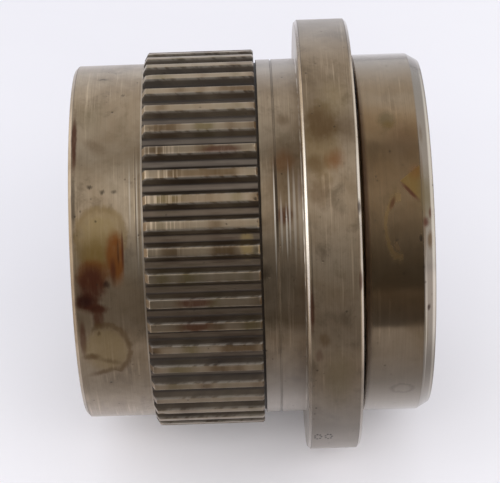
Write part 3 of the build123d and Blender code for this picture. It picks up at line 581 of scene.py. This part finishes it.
def rounded(corners):
    """Points of a profile from its (station, radius, rounding) corners, each rounded by an arc with a
    support point past both its ends. A fourth number is the darkening at the corner, soiling and painted
    shade, and hollow rounded corners get painted shade too. Returns (station, radius, wear, darkening)
    rows."""
    rows = []
    for number, (station, radius, rounding, *corner_darkening) in enumerate(corners):
        here = np.array((station, radius))
        if rounding == 0 or number in (0, len(corners) - 1):
            rows.append((station, radius, 0.0, corner_darkening[0] if corner_darkening else 0.0))
            continue
        before = np.array(corners[number - 1][:2]) - here
        after = np.array(corners[number + 1][:2]) - here
        room = (np.linalg.norm(before), np.linalg.norm(after))
        before, after = before / room[0], after / room[1]
        opening = math.acos(np.clip(before @ after, -1, 1))
        cut = min(rounding / math.tan(opening / 2), 0.42 * min(room))
        outward = before[0] * after[1] - before[1] * after[0] < 0
        steps = 3
        if room[0] > 4 * cut:
            rows.append((*(here + before * cut * 1.8), 0.0, 0.0))
        for step in range(steps + 1):
            share = step / steps
            point = here + before * cut * (1 - share) ** 2 + after * cut * share ** 2
            middle = 1.0 if 0 < step < steps else 0.45
            # Outward corners are worn; hollow ones are darkened with painted shade
            rows.append((*point, middle if outward else 0.0, 0.0 if outward else 0.55 * middle))
        if room[1] > 4 * cut:
            rows.append((*(here + after * cut * 1.8), 0.0, 0.0))
    return rows


class Shell:
    """A closed skin made of rings of points round the axis, in order along its profile."""

    def __init__(self):
        self.points, self.faces, self.wear, self.darkening = [], [], [], []
        self.first = self.last = None
        self.count = 0

    def ring(self, angles, stations, radii, wear, darkening):
        size = len(angles)
        stations, radii = np.broadcast_to(stations, size), np.broadcast_to(radii, size)
        xyz = np.stack([stations - LENGTH / 2, radii * np.cos(angles), radii * np.sin(angles)], 1) / 1000
        self.points.append(xyz)
        self.wear.append(np.broadcast_to(wear, size))
        self.darkening.append(np.broadcast_to(darkening, size))
        new = (self.count, np.asarray(angles))
        self.count += size
        if self.last is not None:
            self.join(self.last, new)
        else:
            self.first = new
        self.last = new

    def join(self, old, new):
        (start_a, angles_a), (start_b, angles_b) = old, new
        a, b = len(angles_a), len(angles_b)
        if a == b:
            index = np.arange(a)
            following = (index + 1) % a
            quads = np.stack([start_a + index, start_a + following,
                              start_b + following, start_b + index], 1)
            self.faces.extend(quads.tolist())
            return
        i = j = 0
        while i < a or j < b:
            next_a = angles_a[i + 1] if i + 1 < a else (angles_a[0] + 2 * math.pi if i < a else 1e9)
            next_b = angles_b[j + 1] if j + 1 < b else (angles_b[0] + 2 * math.pi if j < b else 1e9)
            if next_a <= next_b:
                self.faces.append([start_a + i % a, start_a + (i + 1) % a, start_b + j % b])
                i += 1
            else:
                self.faces.append([start_a + i % a, start_b + (j + 1) % b, start_b + j % b])
                j += 1

    def close(self):
        self.join(self.last, self.first)

    def build(self, name):
        mesh = bpy.data.meshes.new(name)
        mesh.from_pydata(np.concatenate(self.points).tolist(), [], self.faces)
        for label, values in (("wear", self.wear), ("darkening", self.darkening)):
            layer = mesh.attributes.new(label, "FLOAT", "POINT")
            layer.data.foreach_set("value", np.concatenate(values).astype(np.float32))
        mesh.shade_smooth()
        mesh.set_sharp_from_angle(angle=math.radians(38))
        mesh.validate()
        piece = bpy.data.objects.new(name, mesh)
        bpy.context.scene.collection.objects.link(piece)
        return piece


def even(count):
    return np.arange(count) * 2 * math.pi / count


def turned(shell, count, corners, seed=None):
    """Adds the rings of a turned profile. With a seed, its worn edges get small dents."""
    angles = even(count)
    for station, radius, wear, darkening in rounded(corners):
        dent = 0.0
        if seed is not None and wear > 0.5:
            dent = 0.10 * np.clip(periodic(angles, (23, 41, 67, 89, 113), seed) - 0.9, 0, 1.2)
            dent = dent + 0.015 * (1 + periodic(angles, (5, 9, 31, 57), seed + 1))
        shell.ring(angles, station, radius - dent, wear, darkening)


sleeve = Shell()
turned(sleeve, 480, [
    (0.0, 43.6, 0), (0.0, HUB_RADIUS - 0.9, 0.22), (0.9, HUB_RADIUS, 0.35), (HUB_END, HUB_RADIUS, 0.10),
    (HUB_END, 47.2, 0),
], seed=5)

tooth_sides = sorted({-side for side in TOOTH_SAMPLES if side} | set(TOOTH_SAMPLES) | {TOOTH_PITCH / 2})
spline_angles, tooth_offsets, tooth_numbers = [], [], []
for number in range(SPLINE_TEETH):
    for side in tooth_sides:
        spline_angles.append((CREST_ANGLE + number * TOOTH_PITCH + side) % 360)
        tooth_offsets.append(side)
        tooth_numbers.append(number)
order = np.argsort(spline_angles)
spline_angles = np.radians(np.array(spline_angles)[order])
tooth_offsets = np.array(tooth_offsets)[order]
tooth_numbers = np.array(tooth_numbers)[order]
flank = TIP + (1.192 - np.abs(tooth_offsets)) * (TIP - ROOT) / (2.631 - 1.192)
tooth_form = smooth_min(np.full(len(flank), TIP), flank, 0.18)
tooth_form = -smooth_min(-tooth_form, np.full(len(flank), -ROOT), 0.28)
crest_drop = np.array([rng.uniform(0, 0.03) for _ in range(SPLINE_TEETH)])[tooth_numbers]
edge_wear = np.interp(np.abs(tooth_offsets), (0.6, 1.05, 1.17, 1.27, 1.7), (0.0, 0.7, 1.0, 0.8, 0.0))
nicks = [
    (rng.randrange(SPLINE_TEETH), rng.choice((19.3, 19.6, 20.2, 46.2, 46.4, rng.uniform(22, 45))),
     rng.uniform(-1.2, 1.2), rng.uniform(0.08, 0.32), rng.uniform(0.35, 0.9))
    for _ in range(90)
]
stations = [HUB_END, 18.48, 18.6, 18.8, 19.0, 19.15, 19.25, 19.35, 19.5, 19.8, 20.3, 21.0]
stations += [22.0 + 1.5 * step for step in range(16)]
stations += [45.2, 45.8, 46.1, TOOTH_END, 46.5, 46.65, SPLINE_END]
# Darkening between the teeth, soiling and painted shade: nearly black on the flanks, lighter on the floor
# between teeth
teeth_soil_and_shade = np.interp(np.abs(tooth_offsets), (1.17, 1.27, 1.7, 2.8, 3.2, TOOTH_PITCH / 2),
                         (0.0, 0.90, 0.97, 0.97, 0.38, 0.26))
for station in stations:
    envelope = np.interp(station, (HUB_END, TOOTH_START, TOOTH_END, SPLINE_END),
                         (ROOT + 0.4, TIP, TIP, TIP - 0.45))
    radii = tooth_form - crest_drop * (tooth_form > ROOT + 0.8)
    radii = smooth_min(radii, np.full(len(flank), envelope), 0.07)
    height = np.clip((radii - ROOT) / (TIP - ROOT), 0, 1)
    for tooth, middle, side, depth, width in nicks:
        if abs(station - middle) < 2.5 * width:
            bite = np.exp(-((station - middle) / width) ** 2 - ((tooth_offsets - side) / 0.35) ** 2)
            radii = radii - depth * bite * height * (tooth_numbers == tooth)
    at_end = max(0.0, 1 - abs(station - TOOTH_START) / 0.3, 1 - abs(station - 46.5) / 0.4)
    wear = height * np.clip(edge_wear * 0.5 + 0.3 * at_end * (np.abs(tooth_offsets) < 1.4), 0, 1)
    sleeve.ring(spline_angles, station, radii, wear, teeth_soil_and_shade)

# The groove beside the spline and the one on the neck are darkened with soiling and painted shade
turned(sleeve, 480, [
    (SPLINE_END, 46.25, 0, 0.97), (47.4, 46.25, 0, 0.97), (47.4, NECK_RADIUS, 0.10),
    (51.0, NECK_RADIUS, 0.05), (51.0, 46.75, 0, 0.3), (51.5, 46.75, 0, 0.3),
    (51.5, NECK_RADIUS, 0.05), (NECK_END, NECK_RADIUS, 0.25), (NECK_END, 56.5, 0.20),
    (58.55, FLANGE_RADIUS, 0.30), (70.65, FLANGE_RADIUS, 0.30), (FLANGE_END, 56.5, 0.20),
    (FLANGE_END, 50.0, 0), (FLANGE_END, 44.5, 0),
], seed=9)
turned(sleeve, 208, [
    (FLANGE_END, 44.0, 0), (FLANGE_END, 43.0, 0.08), (70.9, 42.5, 0.08), (64.05, 42.5, 0.05),
    (64.05, 44.25, 0),
    (60.9, 44.25, 0), (60.9, 42.5, 0.05), (50.9, 42.5, 0), (50.9, 41.1, 0.1), (46.0, 41.1, 0),
])

pitch = 360 / RING_TEETH
space_sides = sorted({-side for side in SPACE_SAMPLES if side} | set(SPACE_SAMPLES) | {pitch / 2})
ring_angles = np.array([(pitch / 2 + number * pitch + side) % 360
                        for number in range(RING_TEETH) for side in space_sides])
ring_offsets = np.array([side for _ in range(RING_TEETH) for side in space_sides])
order = np.argsort(ring_angles)
ring_angles, ring_offsets = np.radians(ring_angles[order]), ring_offsets[order]
ring_form = np.interp(np.abs(ring_offsets), (0.628, 1.2, 2.287, 3.0), (40.875, 39.75, 37.95, 37.95))
# Darkening at the bottoms of the ring gear's tooth spaces, soiling and painted shade
for station in (46.0, 45.7, 33.0, 20.3, 20.0):
    chamfered = np.maximum(ring_form, 38.25) if station in (46.0, 20.0) else ring_form
    recess_soil_and_shade = np.clip((ring_form - 38.2) / 2.0, 0, 0.8)
    sleeve.ring(ring_angles, station, chamfered, (np.abs(ring_offsets) > 2.2) * 0.5, recess_soil_and_shade)
turned(sleeve, 208, [
    (20.0, 41.1, 0), (10.0, 41.1, 0), (1.0, 41.1, 0.2), (0.0, 42.1, 0.15), (0.0, 42.8, 0),
])
sleeve.close()
sleeve_piece = sleeve.build("ring_gear_sleeve_skin")
sleeve_piece.data.materials.append(finishes["sleeve_steel"])
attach(sleeve_piece, "sleeve")
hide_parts("ring_gear_sleeve")


# ---------------------------------------------------------------- floor, light and camera

def pale_floor():
    """Pale matt board. Where the steel mirrors it, two areas in front are dim, as under a dark wall."""
    skin = Skin("pale_floor")
    cloud = skin.noise(skin.stretched(0.006, 0.006), 1.0, 3.0)
    grain = skin.noise(skin.stretched(2.0, 2.0), 1.0, 3.0)
    pale = skin.mix(skin.spread(cloud, 0.3, 0.7), (0.86, 0.85, 0.885), (0.88, 0.87, 0.90))
    pale = skin.mix(skin.spread(grain, 0.4, 0.7, 0.0, 0.03), pale, (0.75, 0.74, 0.77))
    spot = skin.node("ShaderNodeSeparateXYZ", [skin.mm])
    glossy = skin.node("ShaderNodeLightPath").outputs["Is Glossy Ray"]
    ahead, aside = spot.outputs["Y"], skin.math("ABSOLUTE", spot.outputs["X"])
    slant = skin.math("DIVIDE", aside, skin.minus(50.0, ahead))
    far = skin.times(skin.spread(ahead, -135.0, -165.0), skin.spread(slant, 0.80, 0.50, 0.0, 0.93))
    near = skin.times(skin.spread(ahead, -18.0, -60.0), skin.spread(aside, 130.0, 60.0, 0.0, 0.60))
    dim = skin.times(glossy, skin.math("MAXIMUM", far, near))
    return skin.finish(skin.mix(dim, pale, (0.02, 0.018, 0.016)), 0.75, 0.0, grain, 0.00002, specular=0.2)


floor_mesh = bpy.data.meshes.new("floor")
half_floor = 4.0
steps = 12
places = np.linspace(-half_floor, half_floor, steps + 1).tolist()
grid = [(x, y, floor_level) for y in places for x in places]
corners = [j * (steps + 1) + i for j in range(steps) for i in range(steps)]
cells = [(corner, corner + 1, corner + steps + 2, corner + steps + 1) for corner in corners]
floor_mesh.from_pydata(grid, [], cells)
floor = bpy.data.objects.new("floor", floor_mesh)
bpy.context.scene.collection.objects.link(floor)
floor_mesh.materials.append(pale_floor())

world = bpy.data.worlds.new("studio")
bpy.context.scene.world = world
world.use_nodes = True
sky = Graph(world.node_tree)
direction = sky.node("ShaderNodeSeparateXYZ", [sky.node("ShaderNodeTexCoord").outputs["Generated"]])

# Brightness by elevation: dark room in front, bright wall behind and above
rise = sky.math("ARCTAN2", direction.outputs["Z"], sky.times(direction.outputs["Y"], -1.0))
rise = sky.math("DIVIDE", rise, math.pi)
around = sky.ramp(rise, (0.0, 0.09), (0.07, 0.12), (0.15, 0.20), (0.23, 0.31), (0.32, 0.46), (0.40, 0.42),
                  (0.50, 0.32), (0.525, 0.50), (0.65, 0.76), (0.84, 0.86), (1.0, 0.84))
aside = sky.math("ABSOLUTE", direction.outputs["X"])
window = sky.ramp(rise, (0.0, 0.0), (0.16, 0.0), (0.26, 1.0), (0.38, 1.0), (0.50, 0.0))
around = sky.mix(sky.times(window, sky.spread(aside, 0.10, 0.45)), around, (1.5, 1.48, 1.45))
around = sky.mix(sky.spread(aside, 0.45, 0.85), around, (1.05, 1.04, 1.03))
panel = sky.times(sky.spread(direction.outputs["X"], -0.50, -0.80),
                 sky.spread(direction.outputs["Z"], 0.34, 0.20))
around = sky.mix(panel, around, (2.2, 2.17, 2.12))
around = sky.mix(1.0, around, (0.975, 0.99, 1.045), "MULTIPLY")
seen = sky.node("ShaderNodeLightPath").outputs["Is Camera Ray"]
around = sky.mix(seen, around, (0.90, 0.89, 0.92))
backdrop = sky.node("ShaderNodeBackground", {"Color": around, "Strength": 1.0})
sky.node("ShaderNodeOutputWorld", {"Surface": backdrop.outputs[0]})

lamp_data = bpy.data.lights.new("overhead", "AREA")
lamp_data.shape = "RECTANGLE"
lamp_data.size = 1.3
lamp_data.size_y = 0.9
lamp_data.energy = 14.0
lamp_data.color = (1.0, 0.980, 0.965)
lamp = bpy.data.objects.new("overhead", lamp_data)
lamp.location = (0.10, -1.05, 0.60)
lamp.rotation_euler = (Vector((0, 0, 0)) - lamp.location).to_track_quat("-Z", "Y").to_euler()
lamp.visible_glossy = False
bpy.context.scene.collection.objects.link(lamp)

right = Vector((1, 0, 0)) * math.cos(VIEW_ROLL) - UPWARD * math.sin(VIEW_ROLL)
upright = Vector((1, 0, 0)) * math.sin(VIEW_ROLL) + UPWARD * math.cos(VIEW_ROLL)
camera_data = bpy.data.cameras.new("camera")
camera_data.sensor_fit = "HORIZONTAL"
camera_data.sensor_width = 36.0
camera_data.lens = VIEW_LENS
camera_data.clip_start = 0.01
camera = bpy.data.objects.new("camera", camera_data)
place = VIEW_CENTRE + FACING * VIEW_DISTANCE + right * VIEW_ASIDE + upright * VIEW_UP
camera.matrix_world = Matrix.Translation(place) @ Matrix((right, upright, FACING)).transposed().to_4x4()
bpy.context.scene.collection.objects.link(camera)
bpy.context.scene.camera = camera
bpy.context.scene.view_settings.view_transform = "Standard"

bpy.context.view_layer.update()
